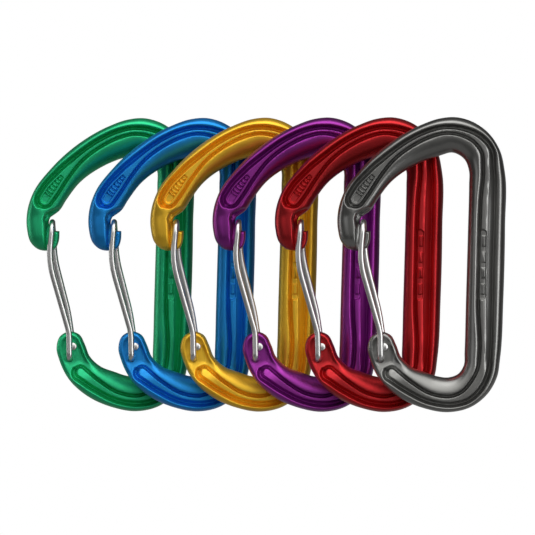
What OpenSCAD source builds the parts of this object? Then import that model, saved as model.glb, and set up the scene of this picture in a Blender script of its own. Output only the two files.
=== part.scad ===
// Rack of six wire-gate carabiners, one colour each, hanging side by side.
// Row frame: X right, Y into the set, Z up. The origin is on the line of the
// loop that they hang from, under the inner crowns of the top bows.
// Profiles are drawn in each carabiner's own plane, with 0,0 at its middle.

/* [Set] */
// Sideways step from one carabiner to the next
step_x = 21.15; // [15:0.05:30]
// Step towards the front from one carabiner to the next
step_y = 10.6; // [10.3:0.1:20]

/* [Frame] */
// Full thickness of the forged frame
frame_t = 10.0; // [9.6:0.1:10.2]
// Thickness of the flat ends at the nose and at the gate's pivot
flat_t = 4.4; // [4.0:0.1:4.6]
// Thickness over the low ridge beside the pivot
ridge_t = 5.7; // [5.0:0.1:5.8]
// Width of the groove round the raised rib
groove_w = 1.1; // [0.6:0.1:1.4]
// Depth of the groove round the raised rib
groove_d = 2.1; // [0.6:0.1:2.2]

/* [Gate wire] */
// Diameter of the gate wire
wire_d = 2.0; // [1.8:0.1:2.0]
// Distance between the middles of the two legs
leg_gap = 8.0; // [7.9:0.1:8.0]
// Diameter of the formed head on each wire end
head_d = 2.6; // [2.4:0.1:2.8]
// Height of the formed head
head_h = 0.65; // [0.4:0.05:0.7]
// Clearance round the wire in the front pivot hole
front_gap = 0.06; // [0.02:0.01:0.1]
// Clearance round the wire in the rear pivot hole
rear_gap = 0.15; // [0.12:0.01:0.2]

/* [Hidden] */
COLOURS = ["green", "blue", "gold", "purple", "red", "grey"];
SHADES = ["#12704a", "#104e84", "#ab781c", "#4e134f", "#741016", "#5a5a58"];

mid = (len(COLOURS) - 1) / 2;
hang = [9.77, 37.86];
eps = 0.01;
far = 2 * frame_t;
steps = 2;
lap = 0.1;
slim = 0.02;
$fn = 48;

// Outer edge from the tip of the nose hook round the top bow, spine, bottom bow
// and pivot end, then back along the inner edge to the nose
RIM = [
    [-17.1, 11.4], [-17.3, 8.2], [-18.4, 5.6], [-20.8, 4.75], [-24.4, 5.2], [-26.8, 7.3],
    [-28.2, 12], [-28.2, 17.6], [-26.1, 24.5], [-20, 32.7], [-11.1, 40.8], [0.1, 47.3],
    [6.2, 49.4], [11.8, 49.85], [17.2, 48.4], [22.7, 44.6], [26.7, 38.5], [28.3, 31.5],
    [28.4, 13], [27.8, -12], [26.7, -31.9], [25.7, -38], [22.2, -44.1], [16.9, -48.2],
    [9.1, -50], [0.9, -48.65], [-7.7, -44.8], [-13.8, -39.3], [-17.2, -32.6],
    [-18.15, -28.4], [-16.9, -24.4], [-13.5, -22.75], [-10.3, -23.9], [-8.5, -27.1],
    [-6.85, -31.2], [-3.3, -34.6], [1.8, -36.6], [5.4, -37.8], [9.1, -38.2],
    [12.6, -36.9], [14.4, -34.1], [14.65, -29.8], [15.1, -13.5], [15.8, 10.9],
    [16.2, 27.2], [16.2, 31.5], [14.6, 35.6], [10.6, 37.85], [6.4, 36.85], [-2, 33.6],
    [-10.1, 28], [-14.9, 21.8], [-17.1, 18.4], [-20.2, 16.1]
];
inner_start = 32;
// Notch that the gate's bend rests in, and two corners that open it to the gate
NOTCH = [[-20.2, 16.1], [-20.65, 15], [-20.65, 13.6], [-20, 12.1], [-18.6, 11.5], [-17.1, 11.4]];
NOTCH_MOUTH = [[-12, 11.4], [-12, 16.1]];
// Middle line of the raised rib, with half the width between its two grooves
RIB = [
    [-22.2, 22.1, 2.6], [-20.1, 25.2, 2.7], [-16.2, 30.1, 2.1], [-10.3, 36.5, 1.5],
    [-2.1, 42.2, 1.35], [3, 44.5, 1.3], [8.1, 45.65, 1.25], [13.2, 45.2, 1.35],
    [18.8, 42.7, 1.6], [22.1, 38.6, 1.8], [22.85, 32, 1.85], [22.5, 22, 2.3],
    [21.9, 0, 2.35], [21.65, -14, 2.35], [21.5, -30.9, 1.8], [21, -35.3, 1.9],
    [18.3, -41, 2.05], [14.9, -44.4, 1.8], [11.1, -45.8, 1.45], [3.3, -45.1, 1.35],
    [-4.2, -41.2, 1.65], [-10.1, -36.8, 2.05]
];
// Half thickness of each plate, and how far its outer and inner edges are drawn in
EDGE = [[flat_t / 2, 0, 0], [3.5, 0.3, 0.8], [4.4, 0.9, 1.9], [frame_t / 2, 1.7, 2.8]];
// Flat at the nose, open towards the gate
NOSE_FLAT = [
    [-21.7, 3], [-22.1, 8], [-22.1, 13], [-22.4, 15.5], [-21.9, 17.1], [-20.4, 18.1],
    [-17.9, 19.2], [-12, 19], [-12, 3]
];
// Flat that the pivot holes go through, beside its low ridge
PIVOT_FLAT = [
    [-20, -20], [-12.2, -20], [-11.8, -24.7], [-10.3, -27.6], [-9.3, -30.6], [-9.8, -33],
    [-11.8, -34], [-13.6, -34.8], [-15, -36.6], [-20, -40]
];
// Wider hollow that the swinging legs pass through, down to the ridge's top
PIVOT_SWEEP = [[-20, -20], [-7, -20], [-7.6, -28], [-11.5, -33.5], [-15, -36.4], [-20, -39]];

// Pivot holes, and the routes of the two legs from the bend down to them
FRONT_HOLE = [-13.66, -32];
REAR_HOLE = [-12.5, -27.9];
APEX = [-19.55, 14.45];
FRONT_LEG = [APEX, [-20.8, 1.3], [-13.83, -22.95], FRONT_HOLE];
REAR_LEG = [APEX, [-18.8, 1.9], [-14.2, -16.2], REAR_HOLE];
FRONT_BENDS = [30, 14];
REAR_BENDS = [40, 60];
top_bend = leg_gap / 2 - 0.1;
foot_bend = 1.7;

function unit(v) = v / norm(v);

// Direction of the smooth line through p at its point i
function heading(p, i) =
    i == 0 ? unit(p[1] - p[0]) :
    i == len(p) - 1 ? unit(p[i] - p[i - 1]) :
    let (a = p[i] - p[i - 1], b = p[i + 1] - p[i])
    let (na = norm([a.x, a.y]), nb = norm([b.x, b.y]))
    (a / na * nb + b / nb * na) / (na + nb);

// One span of the smooth line, from point i to the next, at t from 0 to 1
function span(p, i, t) =
    let (h = norm([p[i + 1].x - p[i].x, p[i + 1].y - p[i].y]), t2 = t * t, t3 = t * t * t)
    (2 * t3 - 3 * t2 + 1) * p[i] + (t3 - 2 * t2 + t) * h * heading(p, i)
    + (3 * t2 - 2 * t3) * p[i + 1] + (t3 - t2) * h * heading(p, i + 1);

// Smooth line through the points of p, with n steps from each to the next
function smooth(p, n) = concat(
    [for (i = [0:len(p) - 2]) for (k = [0:n - 1]) span(p, i, k / n)], [p[len(p) - 1]]);

// Unit normal to the left of the line p at its point i
function left_of(p, i) =
    let (a = p[max(i - 1, 0)], b = p[min(i + 1, len(p) - 1)])
    unit([a.y - b.y, b.x - a.x]);

// The rim drawn in, by one depth along its outer edge and another along its
// inner edge, which starts at the top of the pivot end
function drawn_in(outer, inner) =
    let (p = smooth(RIM, steps))
    [for (i = [0:len(p) - 1]) p[i] - (i < steps * inner_start ? outer : inner) * left_of(p, i)];

// Outline of the rib made g wider on each side, with round ends
function rib_outline(g) =
    let (c = smooth(RIB, steps), n = len(c) - 1)
    let (w = [for (q = c) q.z + g], m = [for (q = c) [q.x, q.y]])
    let (s = left_of(m, 0), e = left_of(m, n), arc = [for (a = [20:20:160]) a])
    concat(
        [for (i = [0:n]) m[i] + w[i] * left_of(m, i)],
        [for (a = arc) m[n] + w[n] * (cos(a) * e + sin(a) * [e.y, -e.x])],
        [for (i = [n:-1:0]) m[i] - w[i] * left_of(m, i)],
        [for (a = arc) m[0] - w[0] * (cos(a) * s + sin(a) * [s.y, -s.x])]);

// Turns a drawing in X and Z into a plate of thickness t, centred on Y
module plate(t) rotate([90, 0, 0]) linear_extrude(height = t, center = true) children();

// Both sides of a plate, from thickness t outwards
module beyond(t) {
    for (side = [-1, 1])
        translate([0, side * (t + far) / 2, 0]) plate(far) children();
}

module at_carabiner(i) {
    translate([(i - mid) * step_x - hang.x, (mid - i) * step_y, -hang.y]) children();
}

// Forged frame: a stack of plates that narrows to both faces, with the groove
// round the rib, the flats at the nose and pivot, and the two pivot holes
module frame(shade) {
    color(shade) difference() {
        for (layer = EDGE)
            plate(2 * layer.x) polygon(drawn_in(layer.y, layer.z));
        plate(far) polygon(concat(smooth(NOTCH, steps), NOTCH_MOUTH));
        beyond(frame_t - 2 * groove_d) difference() {
            polygon(rib_outline(groove_w / 2));
            polygon(rib_outline(-groove_w / 2));
        }
        beyond(flat_t) polygon(NOSE_FLAT);
        beyond(flat_t) polygon(PIVOT_FLAT);
        beyond(ridge_t) polygon(PIVOT_SWEEP);
        pivot_hole(FRONT_HOLE, front_gap);
        pivot_hole(REAR_HOLE, rear_gap);
    }
}

module pivot_hole(at, gap) {
    translate([at.x, 0, at.y]) rotate([90, 0, 0])
        cylinder(d = wire_d + 2 * gap, h = frame_t, center = true);
}

// Round wire along the corners of route, each bent to its own radius
module wire(route, bends) {
    n = len(route) - 1;
    way = [for (i = [0:n - 1]) unit(route[i + 1] - route[i])];
    turn = [for (i = [1:n - 1]) acos(way[i - 1] * way[i])];
    trim = [0, for (i = [1:n - 1]) bends[i - 1] * tan(turn[i - 1] / 2), 0];
    for (i = [0:n - 1])
        straight(
            route[i] + (trim[i] - (i > 0 ? lap : 0)) * way[i],
            route[i + 1] - (trim[i + 1] - (i < n - 1 ? lap : 0)) * way[i]);
    for (i = [1:n - 1])
        bend(route[i] - trim[i] * way[i - 1], way[i - 1], way[i], bends[i - 1], turn[i - 1]);
}

module straight(a, b) {
    v = unit(b - a);
    translate(a) rotate([0, acos(v.z), atan2(v.y, v.x)]) cylinder(d = wire_d, h = norm(b - a));
}

// Bend that starts at a, heading along u, and turns towards v. It is a hair
// slimmer than the straights, which lap over its two ends.
module bend(a, u, v, radius, angle) {
    inward = unit(v - (u * v) * u);
    c = a + radius * inward;
    w = cross(-inward, u);
    multmatrix([
        [-inward.x, u.x, w.x, c.x],
        [-inward.y, u.y, w.y, c.y],
        [-inward.z, u.z, w.z, c.z],
        [0, 0, 0, 1]
    ]) rotate_extrude(angle = angle) translate([radius, 0]) circle(d = wire_d - slim);
}

// Head formed on a wire end, on the face at that side
module head(at, side) {
    ball = (head_d * head_d / 4 + head_h * head_h) / (2 * head_h);
    face = flat_t / 2 + 0.05;
    intersection() {
        translate([at.x, side * (face + head_h - ball), at.y]) sphere(ball);
        translate([at.x, side * (face + head_h / 2), at.y]) rotate([90, 0, 0])
            cylinder(d = 2 * head_d, h = head_h, center = true);
    }
}

// One leg of the gate on the face at that side, from the middle of the bend
// over the nose down to its end, which passes through the hole
module leg(path, bends, side) {
    y = side * leg_gap / 2;
    foot = path[len(path) - 1];
    over = -side * (flat_t / 2 + 0.3);
    route = concat(
        [[path[0].x, side * eps, path[0].y]],
        [for (p = path) [p.x, y, p.y]],
        [[foot.x, over, foot.y]]);
    wire(route, concat([top_bend], bends, [foot_bend]));
    head(foot, -side);
}

module gate_front_leg() color("silver") leg(FRONT_LEG, FRONT_BENDS, -1);

module gate_rear_leg() color("silver") leg(REAR_LEG, REAR_BENDS, 1);

for (i = [0:len(COLOURS) - 1]) {
    at_carabiner(i) frame(SHADES[i]);
    at_carabiner(i) gate_front_leg();
    at_carabiner(i) gate_rear_leg();
}
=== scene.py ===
"""Looks for a set of six wire-gate carabiners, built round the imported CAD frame.

Shapes are worked out in millimetres in each carabiner's own plane (x right, z up,
0,0 at the middle of its outline) and then moved to where the CAD frame is.
"""
import math

import bpy
import numpy as np
from mathutils import Matrix, Vector


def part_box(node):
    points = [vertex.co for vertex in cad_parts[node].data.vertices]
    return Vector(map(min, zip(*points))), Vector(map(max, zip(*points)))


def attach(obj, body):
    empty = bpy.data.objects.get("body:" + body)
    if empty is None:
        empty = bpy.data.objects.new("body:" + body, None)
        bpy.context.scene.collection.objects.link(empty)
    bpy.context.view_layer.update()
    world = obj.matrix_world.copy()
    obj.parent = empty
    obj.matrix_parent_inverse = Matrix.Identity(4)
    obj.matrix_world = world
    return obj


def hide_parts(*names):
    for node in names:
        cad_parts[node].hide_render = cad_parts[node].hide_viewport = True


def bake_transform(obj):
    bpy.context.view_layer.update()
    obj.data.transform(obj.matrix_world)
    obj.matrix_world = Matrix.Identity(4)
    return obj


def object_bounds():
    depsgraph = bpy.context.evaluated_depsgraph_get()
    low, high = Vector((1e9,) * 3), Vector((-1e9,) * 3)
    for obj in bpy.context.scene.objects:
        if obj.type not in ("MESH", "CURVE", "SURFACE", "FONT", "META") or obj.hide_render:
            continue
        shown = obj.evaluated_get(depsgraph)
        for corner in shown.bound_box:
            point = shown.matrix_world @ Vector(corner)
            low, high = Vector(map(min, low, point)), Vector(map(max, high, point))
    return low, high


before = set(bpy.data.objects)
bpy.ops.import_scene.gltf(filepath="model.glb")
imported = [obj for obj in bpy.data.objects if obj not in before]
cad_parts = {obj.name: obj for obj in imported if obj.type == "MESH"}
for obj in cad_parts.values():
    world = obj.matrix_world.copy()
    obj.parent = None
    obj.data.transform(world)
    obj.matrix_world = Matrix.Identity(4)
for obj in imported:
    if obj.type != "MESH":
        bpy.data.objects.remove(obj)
CAD_BOX = [list(corner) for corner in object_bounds()]

MM = 0.001

# ---------------------------------------------------------------- driving sizes (mm)
HALF_T = 5.0            # half thickness of the forged frame
FLAT_HALF = 2.2         # half thickness at the nose flat and the pivot flat
RIDGE_HALF = 2.85       # half thickness that the swinging legs still clear
RIB_HALF = 4.7          # half thickness over the raised rib
OUTER_DEPTH = 2.4       # of the groove between the outer flange and the rib
INNER_DEPTH = 1.9       # of the groove between the rib and the inner ridge
# from a groove's middle to where the surface is level again
FLANGE_SIDE = 1.4
RIB_INNER_SIDE = 0.8
RIDGE_SIDE = 0.8
SPINE_RIDGE_SIDE = 1.8
NARROW_SHIFT = 0.6      # of the outer groove toward the rib where the rib is narrow
LEAST_ROOM = 0.9        # that a groove's side has within a narrow rib
PLAIN_SIDE = 1.15       # of the outer groove within the rib, off the spine
# how far the outer and the inner edge are rounded in: at most, at least, where the
# pivot end or the low part of the nose begins, on the flats, and on the nose flat
OUTER_ROUND = (5.5, 1.2, 1.6, 1.5, 0.9)
INNER_ROUND = (6.0, 1.0, 2.0, 1.2, 0.9)
FLAT_DISH = 0.4         # of the pivot flat within its low rim
HOLE_DISH = 0.12        # of the pivot flat round the front hole
PIVOT_RIDGE = (0.75, 1.25, 0.65)    # height, distance from the inner edge, half width
NOSE_SLOT = (-20.9, 12.5, 1.4, 5.0, 1.7)    # middle x and z, half sizes, depth
FRONT_CLEAR = 0.06      # round the wire in its holes
REAR_CLEAR = 0.15
WIRE_R = 1.0
LEG_Y = 4.0             # from the middle plane to the middle of each gate leg
HEAD_R = 1.3
HEAD_H = 0.65
HEAD_GAP = 0.05         # between the pivot flat and the head
TUBE_SIDES = 28
MARGIN = 1.5            # of the grid round the outline
LINE_STEPS = 8          # from each point of an outline to the next
VOXEL = 0.25
TRIANGLES = 60000

# Outer edge from the nose hook round the top bow, spine, bottom bow and pivot end,
# then back along the inner edge to the nose
RIM = [
    (-17.1, 11.4), (-17.3, 8.2), (-18.4, 5.6), (-20.8, 4.75), (-24.4, 5.2), (-26.8, 7.3),
    (-28.2, 12), (-28.2, 17.6), (-26.1, 24.5), (-20, 32.7), (-11.1, 40.8), (0.1, 47.3),
    (6.2, 49.4), (11.8, 49.85), (17.2, 48.4), (22.7, 44.6), (26.7, 38.5), (28.3, 31.5),
    (28.4, 13), (27.8, -12), (26.7, -31.9), (25.7, -38), (22.2, -44.1), (16.9, -48.2),
    (9.1, -50), (0.9, -48.65), (-7.7, -44.8), (-13.8, -39.3), (-17.2, -32.6),
    (-18.15, -28.4), (-16.9, -24.4), (-13.5, -22.75), (-10.3, -23.9), (-8.5, -27.1),
    (-6.85, -31.2), (-3.3, -34.6), (1.8, -36.6), (5.4, -37.8), (9.1, -38.2),
    (12.6, -36.9), (14.4, -34.1), (14.65, -29.8), (15.1, -13.5), (15.8, 10.9),
    (16.2, 27.2), (16.2, 31.5), (14.6, 35.6), (10.6, 37.85), (6.4, 36.85), (-2, 33.6),
    (-10.1, 28), (-14.9, 21.8), (-17.1, 18.4), (-20.2, 16.1),
]
INNER_START = 32        # the rim's point where its inner edge begins
NOTCH = [(-20.2, 16.1), (-20.65, 15), (-20.65, 13.6), (-20, 12.1), (-18.6, 11.5), (-17.1, 11.4)]
# Middle line of the raised rib, with half the width between its two grooves
RIB = [
    (-22.2, 22.1, 2.6), (-20.1, 25.2, 2.7), (-16.2, 30.1, 2.1), (-10.3, 36.5, 1.5),
    (-2.1, 42.2, 1.35), (3, 44.5, 1.3), (8.1, 45.65, 1.25), (13.2, 45.2, 1.35),
    (18.8, 42.7, 1.6), (22.1, 38.6, 1.8), (22.85, 32, 1.85), (22.5, 22, 2.3),
    (21.9, 0, 2.35), (21.65, -14, 2.35), (21.5, -30.9, 1.8), (21, -35.3, 1.9),
    (18.3, -41, 2.05), (14.9, -44.4, 1.8), (11.1, -45.8, 1.45), (3.3, -45.1, 1.35),
    (-4.2, -41.2, 1.65), (-10.1, -36.8, 2.05),
]
NOSE_FLAT = [
    (-21.7, 3), (-22.1, 8), (-22.1, 13), (-22.4, 15.5), (-21.9, 17.1), (-20.4, 18.1),
    (-17.9, 19.2), (-12, 19), (-12, 3),
]
PIVOT_FLAT = [
    (-20, -20), (-12.2, -20), (-11.8, -24.7), (-10.3, -27.6), (-9.3, -30.6), (-9.8, -33),
    (-11.8, -34), (-13.6, -34.8), (-15, -36.6), (-20, -40),
]
PIVOT_SWEEP = [(-20, -20), (-7, -20), (-7.6, -28), (-11.5, -33.5), (-15, -36.4), (-20, -39)]

# Sunk panels in the rib: start, end, half width, distance from the rib's grooves, depth,
# then the pitch, width and start of the bars in them
PANELS = [
    ((-22.2, 22.1), (-17.1, 28.9), 1.5, 1.4, 0.9, 1.35, 0.75, 2.0),
    ((20.9, 10.6), (20.6, -10.8), 1.2, 0.5, 0.65, 5.4, 3.4, -2.0),
]

FRONT_HOLE = (-13.66, -32.0)
REAR_HOLE = (-12.5, -27.9)
APEX = (-19.55, 14.45)
# Corners of the gate's legs, then the radii of their bends
FRONT_LEG = [APEX, (-20.8, 1.3), (-13.83, -22.95), FRONT_HOLE]
REAR_LEG = [APEX, (-18.8, 1.9), (-14.2, -16.2), REAR_HOLE]
FRONT_BENDS = [30, 14]
REAR_BENDS = [40, 60]
TOP_BEND = LEG_Y - 0.1
FOOT_BEND = 1.7

# ---------------------------------------------------------------- camera, floor and light
FIELD = 0.18166         # width of view at the set, in metres
AIM = Vector((0.00068, 0, -0.00097))    # from the set's middle to where the camera looks
FLOOR_DROP = 0.12
FLOOR_RADIUS = 0.3
LIGHT_AIM = Vector((-0.01, 0, -0.038))
# place, size and power of each area light
LIGHTS = {
    "top": ((-0.2, -0.25, 1.0), (1.3, 0.8), 3.0),
    "left": ((-1.0, 0.35, 0.2), (0.3, 0.9), 1.6),
    "left front": ((-1.1, -0.9, 0.25), (0.7, 1.0), 1.3),
    "right": ((0.95, -0.75, 0.0), (0.75, 1.3), 6.8),
}
BRIGHT_SIDE = (0.12, -0.62, 0.775)
# how bright the room is, from straight away from the bright side to straight toward it
ROOM = [
    (0, 0.2), (0.22, 0.13), (0.36, 0.02), (0.6, 0.035), (0.8, 0.1), (0.88, 0.46),
    (0.95, 1.0), (1, 1.08),
]
ROOM_TINT = (1, 0.99, 0.965)
ROOM_STRENGTH = 1.6


def node(tree, kind, **inputs):
    """A new shader node with some of its inputs set."""
    made = tree.nodes.new(kind)
    for key, value in inputs.items():
        made.inputs[key.replace("_", " ")].default_value = value
    return made


def make_camera():
    """A long lens, level and square to the carabiners' faces."""
    low, high = (Vector(corner) for corner in CAD_BOX)
    data = bpy.data.cameras.new("camera")
    data.lens = 1500
    data.sensor_width = 36
    distance = FIELD * data.lens / data.sensor_width
    data.clip_start = 0.1
    data.clip_end = 4 * distance
    camera = bpy.data.objects.new("camera", data)
    bpy.context.scene.collection.objects.link(camera)
    camera.location = (low + high) / 2 + AIM + Vector((0, -distance, 0))
    camera.rotation_euler = (math.radians(90), 0, 0)
    bpy.context.scene.camera = camera


def make_floor():
    """A pale floor well below the hanging set, dim to what the metal reflects."""
    low, high = (Vector(corner) for corner in CAD_BOX)
    bpy.ops.mesh.primitive_circle_add(vertices=96, radius=FLOOR_RADIUS, fill_type="NGON")
    floor = bpy.context.object
    floor.name = "floor"
    floor.location = ((low.x + high.x) / 2, 0, low.z - FLOOR_DROP)
    material = bpy.data.materials.new("floor")
    material.use_nodes = True
    tree = material.node_tree
    pale = tree.nodes["Principled BSDF"]
    pale.inputs["Base Color"].default_value = (0.8, 0.8, 0.8, 1)
    pale.inputs["Roughness"].default_value = 0.7
    dim = node(tree, "ShaderNodeBsdfDiffuse", Color=(0.25, 0.25, 0.25, 1))
    path = tree.nodes.new("ShaderNodeLightPath")
    mix = tree.nodes.new("ShaderNodeMixShader")
    tree.links.new(path.outputs["Is Camera Ray"], mix.inputs["Fac"])
    tree.links.new(dim.outputs["BSDF"], mix.inputs[1])
    tree.links.new(pale.outputs["BSDF"], mix.inputs[2])
    tree.links.new(mix.outputs["Shader"], tree.nodes["Material Output"].inputs["Surface"])
    floor.data.materials.append(material)


def area_light(name, place, size, power):
    """A rectangular light turned toward the set."""
    data = bpy.data.lights.new(name, "AREA")
    data.shape = "RECTANGLE"
    data.size, data.size_y = size
    data.energy = power
    light = bpy.data.objects.new(name, data)
    bpy.context.scene.collection.objects.link(light)
    light.location = place
    toward = LIGHT_AIM - Vector(place)
    light.rotation_euler = toward.to_track_quat("-Z", "Y").to_euler()


def make_world():
    """White where the camera looks past the set; what the metal reflects is a dim room
    that brightens toward one side: in front, above and a little to the right."""
    world = bpy.data.worlds.new("studio")
    bpy.context.scene.world = world
    world.use_nodes = True
    tree = world.node_tree
    tree.nodes.clear()
    out = tree.nodes.new("ShaderNodeOutputWorld")
    mix = tree.nodes.new("ShaderNodeMixShader")
    path = tree.nodes.new("ShaderNodeLightPath")
    place = tree.nodes.new("ShaderNodeTexCoord")
    toward = tree.nodes.new("ShaderNodeVectorMath")
    toward.operation = "DOT_PRODUCT"
    toward.inputs[1].default_value = BRIGHT_SIDE
    reach = tree.nodes.new("ShaderNodeMapRange")
    reach.inputs["From Min"].default_value = -1
    ramp = tree.nodes.new("ShaderNodeValToRGB")
    stops = ramp.color_ramp.elements
    for spot, level in ROOM:
        stop = stops[0] if spot == 0 else stops[-1] if spot == 1 else stops.new(spot)
        stop.color = (*[level * tint for tint in ROOM_TINT], 1)
    room = tree.nodes.new("ShaderNodeBackground")
    room.inputs["Strength"].default_value = ROOM_STRENGTH
    white = tree.nodes.new("ShaderNodeBackground")
    white.inputs["Color"].default_value = (1, 1, 1, 1)
    white.inputs["Strength"].default_value = 1.0
    links = tree.links
    links.new(place.outputs["Generated"], toward.inputs[0])
    links.new(toward.outputs["Value"], reach.inputs["Value"])
    links.new(reach.outputs["Result"], ramp.inputs["Fac"])
    links.new(ramp.outputs["Color"], room.inputs["Color"])
    links.new(path.outputs["Is Camera Ray"], mix.inputs["Fac"])
    links.new(room.outputs["Background"], mix.inputs[1])
    links.new(white.outputs["Background"], mix.inputs[2])
    links.new(mix.outputs["Shader"], out.inputs["Surface"])


def make_lights():
    """Four soft lights, and plain colours that no film look bends."""
    for name, (place, size, power) in LIGHTS.items():
        area_light(name, place, size, power)
    bpy.context.scene.view_settings.view_transform = "Standard"


# ---------------------------------------------------------------- drawing in the plane
def smooth_line(points, steps):
    """Smooth line through the points, with that many steps from each to the next."""
    p = np.array(points, float)
    gap = np.linalg.norm(np.diff(p[:, :2], axis=0), axis=1)[:, None]
    way = np.diff(p, axis=0) / gap
    heading = np.vstack([
        way[:1],
        (way[:-1] * gap[1:] + way[1:] * gap[:-1]) / (gap[1:] + gap[:-1]),
        way[-1:],
    ])
    t = np.arange(steps)[None, :, None] / steps
    a, b = p[:-1, None], p[1:, None]
    u, v = (heading[:-1] * gap)[:, None], (heading[1:] * gap)[:, None]
    line = ((2 * t**3 - 3 * t**2 + 1) * a + (t**3 - 2 * t**2 + t) * u
            + (3 * t**2 - 2 * t**3) * b + (t**3 - t**2) * v)
    return np.vstack([line.reshape(-1, p.shape[1]), p[-1:]])


def distance_to(line, x, z, width=None):
    """Distance from every point to the line, less the line's own width there."""
    best = np.full(x.shape, 1e9, np.float32)
    for i in range(len(line) - 1):
        ax, az = line[i][:2]
        dx, dz = line[i + 1][:2] - line[i][:2]
        t = np.clip(((x - ax) * dx + (z - az) * dz) / (dx * dx + dz * dz + 1e-12), 0, 1)
        d = np.hypot(x - ax - t * dx, z - az - t * dz)
        if width is not None:
            d = d - (width[i] + t * (width[i + 1] - width[i]))
        best = np.minimum(best, d)
    return best


def side_of(line, x, z):
    """Distance from every point to the line, and how far it lies to the line's right."""
    best = np.full(x.shape, 1e9, np.float32)
    aside = np.zeros(x.shape, np.float32)
    for (ax, az), (bx, bz) in zip(line[:-1, :2], line[1:, :2]):
        dx, dz = bx - ax, bz - az
        t = np.clip(((x - ax) * dx + (z - az) * dz) / (dx * dx + dz * dz), 0, 1)
        d = np.hypot(x - ax - t * dx, z - az - t * dz)
        right = (dz * (x - ax) - dx * (z - az)) / math.hypot(dx, dz)
        nearer = d < best
        best = np.where(nearer, d, best)
        aside = np.where(nearer, right, aside)
    return best, aside


def within(outline, x, z):
    """True for points inside the closed outline."""
    hit = np.zeros(x.shape, bool)
    closed = np.vstack([outline, outline[:1]])
    for (ax, az), (bx, bz) in zip(closed[:-1, :2], closed[1:, :2]):
        if az == bz:
            continue
        hit ^= ((az > z) != (bz > z)) & (x < (bx - ax) * (z - az) / (bz - az) + ax)
    return hit


def depth_inside(outline, x, z):
    """Distance to the closed outline, positive inside it."""
    corners = np.array(outline, float)
    closed = np.vstack([corners, corners[:1]])
    d = distance_to(closed, x, z)
    return np.where(within(corners, x, z), d, -d)


def ease(low, high, value):
    """0 at low and 1 at high, level at both; low may be the larger."""
    t = np.clip((value - low) / (high - low), 0, 1)
    return t * t * (3 - 2 * t)


def mixed(a, b, share):
    """a where the share is 0, b where it is 1."""
    return a + (b - a) * share


def under(value, top):
    """The value, bent over smoothly so that it stays below the top."""
    return value - 0.4 * np.log1p(np.exp(np.clip((value - top) / 0.4, -30, 30)))


def bowl(away):
    """1 at 0 and 0 from 1 on, level at both."""
    return 0.5 + 0.5 * np.cos(np.pi * np.clip(away, 0, 1))


def metal(cap, edge, hole, y):
    """Positive inside the metal, negative outside it."""
    return np.minimum(1 - edge - (y / cap) ** 2, hole * 0.8)


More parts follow.
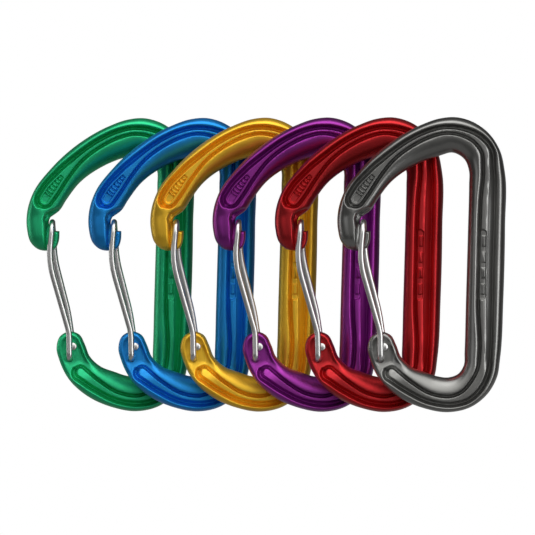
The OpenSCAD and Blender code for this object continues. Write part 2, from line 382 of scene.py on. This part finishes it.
class Forging:
    """The frame's surface, as a height above the middle plane and a rounding of its edges."""

    step = 0.125        # of the grid
    probe = 0.06        # either way for a slope

    def __init__(self):
        rim = smooth_line(RIM, LINE_STEPS)
        notch = smooth_line(NOTCH, 6)
        rib = smooth_line(RIB, LINE_STEPS)
        outline = np.vstack([rim, notch])
        turn = INNER_START * LINE_STEPS
        self.low = outline.min(0) - MARGIN
        count = np.ceil((outline.max(0) + MARGIN - self.low) / self.step).astype(int) + 1
        gx = self.low[0] + self.step * np.arange(count[0])
        gz = self.low[1] + self.step * np.arange(count[1])
        x, z = (g.astype(np.float32) for g in np.meshgrid(gx, gz, indexing="ij"))
        beyond = ~within(outline, x, z)
        outer = distance_to(rim[:turn + 1], x, z)
        inner = distance_to(np.vstack([rim[turn:], notch]), x, z)
        # past the outline only the nearer edge's distance is negative
        outer, inner = (np.where(beyond & (outer <= inner), -outer, outer),
                        np.where(beyond & (inner < outer), -inner, inner))
        self.box = (outline.min(0), outline.max(0))
        groove = distance_to(rib, x, z, rib[:, 2])
        off_rib, aside = side_of(rib, x, z)
        self.fields = self.shape(x, z, outer, inner, groove, off_rib - groove, aside)

    def shape(self, x, z, outer, inner, groove, half, aside):
        """Cap height, edge term and hole term over the plane.

        outer and inner are distances from the frame's edges, groove is the distance from
        the nearer groove of the rib, half is half the rib's width there, and aside is how
        far the point lies on the inner side of the rib's middle line.
        """
        # where each feature holds, from 0 to 1
        nose_in = depth_inside(NOSE_FLAT, x, z)
        pivot_in = depth_inside(PIVOT_FLAT, x, z)
        nose = np.clip((nose_in + 1.2) / 1.5, 0, 1) ** 4
        low_nose = ease(23, 17, z) * ease(-14, -17, x)
        pivot_end = ease(-40, -33, z) * ease(-2, -7, x) * ease(-15, -20, z)
        flats = np.maximum(nose, ease(-3.0, 0.5, pivot_in))
        on_spine = ease(13, 17, x) * ease(-38, -30, z) * ease(42, 34, z)
        inward = ease(-0.7, 0.7, aside)
        narrow = NARROW_SHIFT * ease(2.0, 1.4, half) * (1 - inward) * ease(-20, 0, z)

        # rounding of the two edges
        most, least, by_pivot, on_flats, on_nose = OUTER_ROUND
        reach_o = under(outer + groove + narrow - FLANGE_SIDE, mixed(most, by_pivot, pivot_end))
        reach_o = mixed(np.maximum(reach_o, least), mixed(on_flats, on_nose, nose), flats)
        most, least, by_pivot, on_flats, on_nose = INNER_ROUND
        tight = np.maximum(low_nose, pivot_end)
        reach_i = under(inner + groove - RIDGE_SIDE, mixed(most, by_pivot, tight))
        reach_i = mixed(np.maximum(reach_i, least), mixed(on_flats, on_nose, nose), flats)
        off_o = np.clip(1 - outer / reach_o, 0, None) ** 2
        off_i = np.clip(1 - inner / reach_i, 0, None) ** 2
        edge = off_o + off_i - off_o * off_i

        # height of the faces, falling to the pivot flat and its dish
        cap = mixed(HALF_T, RIB_HALF, ease(0.3, -0.8, groove))
        rise = np.clip(-pivot_in, 0, None)
        cap = under(cap, FLAT_HALF + 0.55 * rise * rise / (rise + 1.2))
        rim_in = np.minimum(outer, inner)
        cap = cap - FLAT_DISH * ease(0.8, 2.6, rim_in) * ease(-1.5, 1.0, pivot_in)

        # the two grooves along the rib, joined round its ends, and the panels in the rib
        line = groove + narrow
        roll = bowl(line / mixed(FLANGE_SIDE, RIDGE_SIDE, inward))
        crest = np.clip(1 - line / SPINE_RIDGE_SIDE, 0, 1) ** 2.2
        roll = mixed(roll, crest, inward * on_spine)
        steep = bowl(-line / RIB_INNER_SIDE)
        room = np.maximum(2 * half - narrow - RIB_INNER_SIDE, LEAST_ROOM)
        gentle = np.clip(1 + line / room, 0, 1) ** 2.2
        plain = bowl(-line / np.minimum(room, PLAIN_SIDE))
        dip = np.where(line > 0, roll, mixed(mixed(plain, gentle, on_spine), steep, inward))
        depth = mixed(OUTER_DEPTH, INNER_DEPTH, inward) * mixed(1, 0.55, pivot_end)
        cap = cap - depth * dip - self.sunk(x, z, groove)

        # ridge along the pivot end's inner edge
        height, place, width = PIVOT_RIDGE
        ridge = height * np.exp(-((inner - place) / width) ** 2) * ease(-7, -1, pivot_in)
        cap = cap + ridge * ease(-24, -28.5, z) * ease(4.2, 2.0, cap)

        # what the wire needs: flat seats, the swing of its legs, the dish round its foot
        cap = np.where(pivot_in > 0, np.minimum(cap, FLAT_HALF), cap)
        sweep_in = depth_inside(PIVOT_SWEEP, x, z)
        cap = np.minimum(cap, RIDGE_HALF + np.clip(-sweep_in, 0, None) * 1.2)
        to_front = np.hypot(x - FRONT_HOLE[0], z - FRONT_HOLE[1])
        cap = cap - HOLE_DISH * ease(2.3, 1.2, to_front) * ease(-0.2, 0.3, pivot_in)
        slot_x, slot_z, wide, tall, deep = NOSE_SLOT
        slot = np.exp(-((x - slot_x) / wide) ** 2 - ((z - slot_z) / tall) ** 2)
        cap = mixed(cap, FLAT_HALF - deep * slot, nose)
        to_rear = np.hypot(x - REAR_HOLE[0], z - REAR_HOLE[1])
        hole = np.minimum(to_front - WIRE_R - FRONT_CLEAR, to_rear - WIRE_R - REAR_CLEAR)
        return np.stack([cap, edge, hole], -1).astype(np.float32)

    @staticmethod
    def sunk(x, z, groove):
        """Depth of the two sunk panels in the rib, each with plain raised bars in it."""
        total = np.zeros_like(x)
        for start, end, half, edge, depth, pitch, bar, first in PANELS:
            dx, dz = end[0] - start[0], end[1] - start[1]
            length = math.hypot(dx, dz)
            along = ((x - start[0]) * dx + (z - start[1]) * dz) / length
            over = np.abs((x - start[0]) * dz - (z - start[1]) * dx) / length
            past = np.maximum(np.maximum(-along, along - length), 0)
            inside = np.minimum(half - np.hypot(over, past), -groove - edge)
            floor = ease(-0.12, 0.22, inside)
            phase = np.abs((along / pitch) % 1 - 0.5) * pitch
            bars = ease(bar / 2 + 0.12, bar / 2 - 0.1, phase) * ease(0.25, 0.5, inside)
            bars = bars * ease(first - 0.1, first + 0.1, along)
            total += depth * floor * (1 - 0.75 * bars)
        return total

    def at(self, x, z):
        """The three fields at any points, between the grid's own."""
        u = np.clip((x - self.low[0]) / self.step, 0, self.fields.shape[0] - 1.001)
        v = np.clip((z - self.low[1]) / self.step, 0, self.fields.shape[1] - 1.001)
        i, j = u.astype(int), v.astype(int)
        fu, fv = (u - i)[..., None], (v - j)[..., None]
        f = self.fields
        return ((f[i, j] * (1 - fu) + f[i + 1, j] * fu) * (1 - fv)
                + (f[i, j + 1] * (1 - fu) + f[i + 1, j + 1] * fu) * fv)

    def solid(self, x, y, z):
        """Positive inside the metal."""
        return metal(*np.moveaxis(self.at(x, z), -1, 0), y)

    def slope(self, x, y, z):
        """Which way, and how fast, the metal gets deeper."""
        h = self.probe
        gx = self.solid(x + h, y, z) - self.solid(x - h, y, z)
        gy = self.solid(x, y + h, z) - self.solid(x, y - h, z)
        gz = self.solid(x, y, z + h) - self.solid(x, y, z - h)
        return np.stack([gx, gy, gz], -1) / (2 * h)

    def onto(self, points):
        """The points moved onto the metal's surface."""
        for _ in range(4):
            g = self.slope(*points.T)
            f = self.solid(*points.T)
            move = g * (f / np.maximum((g * g).sum(1), 1e-3))[:, None]
            length = np.linalg.norm(move, axis=1, keepdims=True)
            points = points - move * np.minimum(1, 0.1 / np.maximum(length, 1e-9))
        return points


def surface_net(value, low, step):
    """Points and quads of the zero surface of a grid, one point in each cell it crosses."""
    inside = value > 0
    shape = np.array(value.shape) - 1
    corners = [(a, b, c) for a in (0, 1) for b in (0, 1) for c in (0, 1)]

    def cell(array, corner):
        return array[tuple(slice(k, k + n) for k, n in zip(corner, shape))]

    # each crossed cell's point is the mean of where its edges cross the surface
    count = sum(cell(inside, c).astype(np.int8) for c in corners)
    crossed = (count > 0) & (count < 8)
    index = np.full(shape, -1, np.int64)
    index[crossed] = np.arange(crossed.sum())
    total = np.zeros((crossed.sum(), 3))
    hits = np.zeros(crossed.sum())
    for axis in range(3):
        for corner in corners:
            if corner[axis]:
                continue
            other = tuple(1 if k == axis else corner[k] for k in range(3))
            a, b = cell(value, corner)[crossed], cell(value, other)[crossed]
            cross = (a > 0) != (b > 0)
            t = np.where(cross, a / np.where(cross, a - b, 1), 0)
            point = np.tile(np.array(corner, float), (len(a), 1))
            point[:, axis] += t
            total += point * cross[:, None]
            hits += cross
    cells = np.argwhere(crossed)
    points = low + step * (cells + total / hits[:, None])
    # each crossed edge of the grid joins the points of the four cells round it
    quads = []
    for axis in range(3):
        one, two = [k for k in range(3) if k != axis]
        a = inside[tuple(slice(0, -1) if k == axis else slice(1, -1) for k in range(3))]
        b = inside[tuple(slice(1, None) if k == axis else slice(1, -1) for k in range(3))]
        where = np.argwhere(a != b)
        leaving = a[a != b]
        where[:, [one, two]] += 1
        ring = []
        for d1, d2 in ((0, 0), (1, 0), (1, 1), (0, 1)):
            at = where.copy()
            at[:, one] -= d1
            at[:, two] -= d2
            ring.append(index[tuple(at.T)])
        ring = np.stack(ring, 1)
        flip = leaving if axis != 1 else ~leaving
        ring[~flip] = ring[~flip][:, ::-1]
        quads.append(ring)
    return points, np.vstack(quads)


def forged_mesh():
    """One frame as a mesh in millimetres, and the lowest and highest corner of its outline."""
    forging = Forging()
    (low_x, low_z), (high_x, high_z) = forging.box
    spare = 0.7
    low = np.array([low_x - spare, -HALF_T - spare, low_z - spare])
    high = np.array([high_x + spare, HALF_T + spare, high_z + spare])
    counts = np.ceil((high - low) / VOXEL).astype(int) + 1
    axes = [low[k] + VOXEL * np.arange(counts[k]) for k in range(3)]
    flat_x, flat_z = np.meshgrid(axes[0], axes[2], indexing="ij")
    flat = forging.at(flat_x, flat_z)[:, None]
    value = metal(*np.moveaxis(flat, -1, 0), axes[1][None, :, None])
    points, quads = surface_net(value, low, VOXEL)
    points = forging.onto(points)
    mesh = bpy.data.meshes.new("forged")
    mesh.from_pydata(points.tolist(), [], quads.tolist())
    mesh.validate()
    thin = bpy.data.objects.new("forged", mesh)
    bpy.context.scene.collection.objects.link(thin)
    decimate = thin.modifiers.new("fewer", "DECIMATE")
    decimate.ratio = min(1, TRIANGLES / (2 * len(quads)))
    graph = bpy.context.evaluated_depsgraph_get()
    done = bpy.data.meshes.new_from_object(thin.evaluated_get(graph))
    bpy.data.objects.remove(thin)
    points = np.empty(len(done.vertices) * 3)
    done.vertices.foreach_get("co", points)
    points = forging.onto(points.reshape(-1, 3))
    done.vertices.foreach_set("co", points.ravel())
    normal = -forging.slope(*points.T)
    normal /= np.maximum(np.linalg.norm(normal, axis=1, keepdims=True), 1e-9)
    done.polygons.foreach_set("use_smooth", [True] * len(done.polygons))
    done.normals_split_custom_set_from_vertices(normal.tolist())
    return done, forging.box


# ---------------------------------------------------------------- gate wire
def unit(v):
    return v / np.linalg.norm(v)


def bent_route(corners, bends, spacing=2.5):
    """Points along a wire through the corners, each bent to its own radius."""
    p = [np.array(c, float) for c in corners]
    route = [p[0]]
    for i, radius in enumerate(bends, 1):
        u, v = unit(p[i] - p[i - 1]), unit(p[i + 1] - p[i])
        angle = math.acos(np.clip(u @ v, -1, 1))
        start = p[i] - radius * math.tan(angle / 2) * u
        inward = unit(v - (u @ v) * u)
        count = max(4, round(angle / math.radians(5)))
        extra = int(np.linalg.norm(start - route[-1]) / spacing)
        for k in range(1, extra + 1):
            route.append(route[-1] + (start - route[-1]) * k / (extra + 1))
        for k in range(count + 1):
            a = angle * k / count
            route.append(start + radius * (math.sin(a) * u + (1 - math.cos(a)) * inward))
    route.append(p[-1])
    return np.array(route)


def tube(route, radii, sides):
    """Vertices and faces of a round tube along the route, open at its start."""
    ways = np.gradient(route, axis=0)
    ways /= np.linalg.norm(ways, axis=1, keepdims=True)
    across = unit(np.cross(ways[0], (0.3, 0.1, 0.9)))
    rings = []
    for point, way, radius in zip(route, ways, radii):
        across = unit(across - (across @ way) * way)
        up = np.cross(way, across)
        for k in range(sides):
            a = 2 * math.pi * k / sides
            rings.append(point + radius * (math.cos(a) * across + math.sin(a) * up))
    faces = []
    for i in range(len(route) - 1):
        for k in range(sides):
            a, b = i * sides + k, i * sides + (k + 1) % sides
            faces.append((a, b, b + sides, a + sides))
    last = (len(route) - 1) * sides
    faces.append(tuple(last + k for k in range(sides)))
    return rings, faces


def leg_mesh(name, path, bends, side):
    """One leg from the middle of the bend over the nose to its formed head."""
    foot = path[-1]
    corners = ([(path[0][0], 0, path[0][1])] + [(x, side * LEG_Y, z) for x, z in path]
               + [(foot[0], -side * FLAT_HALF, foot[1])])
    route = bent_route(corners, [TOP_BEND] + bends + [FOOT_BEND])
    radii = [WIRE_R] * len(route)
    # the formed head: a low skirt on the face and a dome over it
    head = [(0.02, HEAD_R - 0.12), (0.1, HEAD_R), (0.2, HEAD_R)]
    for k in range(1, 9):
        a = math.radians(90 * k / 9)
        head.append((0.2 + (HEAD_H - 0.2) * math.sin(a), HEAD_R * math.cos(a)))
    route = list(route)
    for rise, radius in head:
        route.append(np.array((foot[0], -side * (FLAT_HALF + HEAD_GAP + rise), foot[1])))
        radii.append(radius)
    verts, faces = tube(np.array(route), radii, TUBE_SIDES)
    mesh = bpy.data.meshes.new(name)
    mesh.from_pydata([tuple(v) for v in verts], [], faces)
    mesh.validate()
    mesh.polygons.foreach_set("use_smooth", [True] * len(mesh.polygons))
    return mesh


# ---------------------------------------------------------------- materials
# Each colour's dye, how rough its satin is, and how much of it is bare metal
FINISHES = {
    "green": ((0.016, 0.54, 0.225), 0.43, 0.84),
    "blue": ((0.01, 0.28, 0.76), 0.43, 0.84),
    "gold": ((1.0, 0.57, 0.037), 0.43, 0.84),
    "purple": ((0.31, 0.03, 0.32), 0.38, 0.94),
    "red": ((0.54, 0.018, 0.023), 0.38, 0.94),
    "grey": ((0.26, 0.26, 0.253), 0.31, 0.97),
}


def clouded(name, noise, spots, colours, roughness):
    """Material whose colour and roughness drift together over the surface.

    Returns it with its tree, its shader and the surface's own coordinates.
    """
    material = bpy.data.materials.new(name)
    material.use_nodes = True
    tree = material.node_tree
    shader = tree.nodes["Principled BSDF"]
    place = tree.nodes.new("ShaderNodeTexCoord").outputs["Object"]
    cloud = node(tree, "ShaderNodeTexNoise", **noise)
    tint = tree.nodes.new("ShaderNodeValToRGB")
    for stop, spot, colour in zip(tint.color_ramp.elements, spots, colours):
        stop.position = spot
        stop.color = (*colour, 1)
    gloss = node(tree, "ShaderNodeMapRange", To_Min=roughness[0], To_Max=roughness[1])
    links = tree.links
    links.new(place, cloud.inputs["Vector"])
    links.new(cloud.outputs["Fac"], tint.inputs["Fac"])
    links.new(cloud.outputs["Fac"], gloss.inputs["Value"])
    links.new(tint.outputs["Color"], shader.inputs["Base Color"])
    links.new(gloss.outputs["Result"], shader.inputs["Roughness"])
    return material, tree, shader, place


def anodised(name, dye, satin, bare):
    """Dyed, tumbled aluminium: satin metal with slightly uneven dye and fine grain."""
    dark = [c * 0.9 for c in dye]
    light = [min(1, c * 1.08) for c in dye]
    material, tree, shader, place = clouded(
        name, {"Scale": 90.0, "Detail": 4.0}, (0.3, 0.7), (dark, light),
        (satin - 0.04, satin + 0.04))
    shader.inputs["Metallic"].default_value = bare
    shader.inputs["Coat Weight"].default_value = 0.25
    shader.inputs["Coat Roughness"].default_value = 0.42
    grain = node(tree, "ShaderNodeTexNoise", Scale=2600.0, Detail=3.0)
    bump = node(tree, "ShaderNodeBump", Strength=0.08, Distance=0.00004)
    tree.links.new(place, grain.inputs["Vector"])
    tree.links.new(grain.outputs["Fac"], bump.inputs["Height"])
    tree.links.new(bump.outputs["Normal"], shader.inputs["Normal"])
    return material


def spring_steel():
    """Bright drawn stainless wire."""
    material, _, shader, _ = clouded(
        "gate_wire", {"Scale": 60.0, "Detail": 2.0}, (0, 1),
        ((0.66, 0.66, 0.66), (0.72, 0.72, 0.71)), (0.28, 0.33))
    shader.inputs["Metallic"].default_value = 1
    return material


# ---------------------------------------------------------------- putting it together
def placed(name, mesh, offset, material):
    """The shape, drawn in millimetres, as a piece in its place with a mesh of its own."""
    data = mesh.copy()
    data.transform(Matrix.Translation(offset) @ Matrix.Scale(MM, 4))
    data.materials.append(material)
    made = bpy.data.objects.new(name, data)
    bpy.context.scene.collection.objects.link(made)
    return made


def main():
    make_camera()
    make_floor()
    make_world()
    make_lights()
    forged, box = forged_mesh()
    middle = (box[0] + box[1]) / 2
    front = leg_mesh("front_leg", FRONT_LEG, FRONT_BENDS, -1)
    rear = leg_mesh("rear_leg", REAR_LEG, REAR_BENDS, 1)
    steel = spring_steel()
    for colour, finish in FINISHES.items():
        low, high = (Vector(corner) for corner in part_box(f"frame_{colour}"))
        offset = (low + high) / 2 - Vector((middle[0], 0, middle[1])) * MM
        dyed = anodised(f"anodised_{colour}", *finish)

        body = placed(f"forged_frame_{colour}", forged, offset, dyed)
        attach(body, "rack")
        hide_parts(f"frame_{colour}")

        leg = placed(f"gate_wire_front_{colour}", front, offset, steel)
        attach(leg, f"gate_{colour}")
        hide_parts(f"gate_front_leg_{colour}")

        leg = placed(f"gate_wire_rear_{colour}", rear, offset, steel)
        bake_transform(leg)
        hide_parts(f"gate_rear_leg_{colour}")


main()
